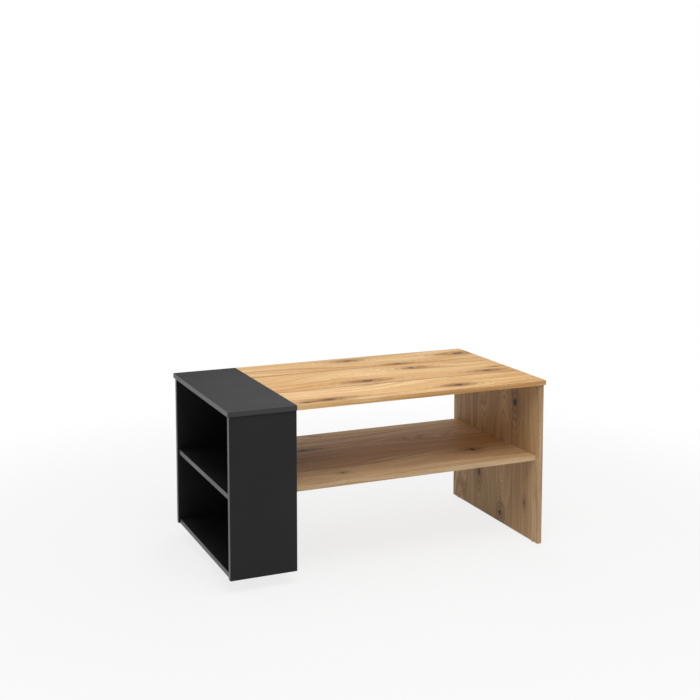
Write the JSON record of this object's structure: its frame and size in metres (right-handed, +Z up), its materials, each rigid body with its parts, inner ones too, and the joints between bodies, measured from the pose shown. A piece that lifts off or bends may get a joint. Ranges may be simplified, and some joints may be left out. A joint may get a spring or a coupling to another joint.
{
  "type": "coffee table",
  "caption": "Two-tone coffee table: a fixed oak top, shelf and end panel beside a black open cabinet that stands on hidden feet.",
  "frame": {"origin": "middle of the footprint, on the floor", "axes": "+X along the table to the oak end panel, -X to the cabinet's open side, -Y the front, +Z up"},
  "size_m": [1.1, 0.6, 0.56],
  "materials": {
    "black_board": "matt black melamine-faced board",
    "oak_board": "printed wild-oak melamine-faced board with a fine pore",
    "black_band": "black edge band, a little smoother than the board",
    "oak_band": "oak-print edge band",
    "black_plastic": "moulded black plastic",
    "oak_plastic": "oak-coloured cover caps",
    "zinc": "bright zinc plating",
    "beech": "plain beech"
  },
  "bodies": {
    "root": {"black_top": "black_board", "oak_top": "oak_board", "cabinet_front_panel": "black_board", "cabinet_rear_panel": "black_board", "cabinet_divider": "black_board", "cabinet_shelf": "black_board", "cabinet_bottom": "black_board", "oak_shelf": "oak_board", "oak_end_panel": "oak_board", "black_top_bands": "black_band", "oak_top_bands": "oak_band", "front_panel_bands": "black_band", "rear_panel_bands": "black_band", "cabinet_shelf_band": "black_band", "cabinet_bottom_band": "black_band", "oak_shelf_bands": "oak_band", "end_panel_bands": "oak_band", "foot_front_outer": "black_plastic", "foot_front_inner": "black_plastic", "foot_rear_outer": "black_plastic", "foot_rear_inner": "black_plastic", "foot_screws": "zinc", "end_glides": "black_plastic", "glide_nails": "zinc", "top_bracket_front": "zinc", "top_bracket_rear": "zinc", "bracket_screws": "zinc", "end_top_cams": "zinc", "end_top_bolts": "zinc", "end_top_dowels": "beech", "top_joint_cams": "zinc", "top_joint_bolts": "zinc", "top_joint_dowels": "beech", "shelf_end_cams": "zinc", "shelf_end_bolts": "zinc", "shelf_end_dowels": "beech", "oak_shelf_divider_cams": "zinc", "cabinet_shelf_divider_cams": "zinc", "through_bolts": "zinc", "through_dowels": "beech", "cabinet_shelf_cams": "zinc", "cabinet_shelf_bolts": "zinc", "cabinet_shelf_dowels": "beech", "bottom_cams": "zinc", "bottom_bolts": "zinc", "bottom_dowels": "beech", "divider_cams": "zinc", "divider_bolts": "zinc", "divider_dowels": "beech", "black_top_cams": "zinc", "black_top_bolts": "zinc", "black_top_dowels": "beech", "black_cam_caps": "black_plastic", "oak_cam_caps": "oak_plastic"}
  },
  "joints": []
}
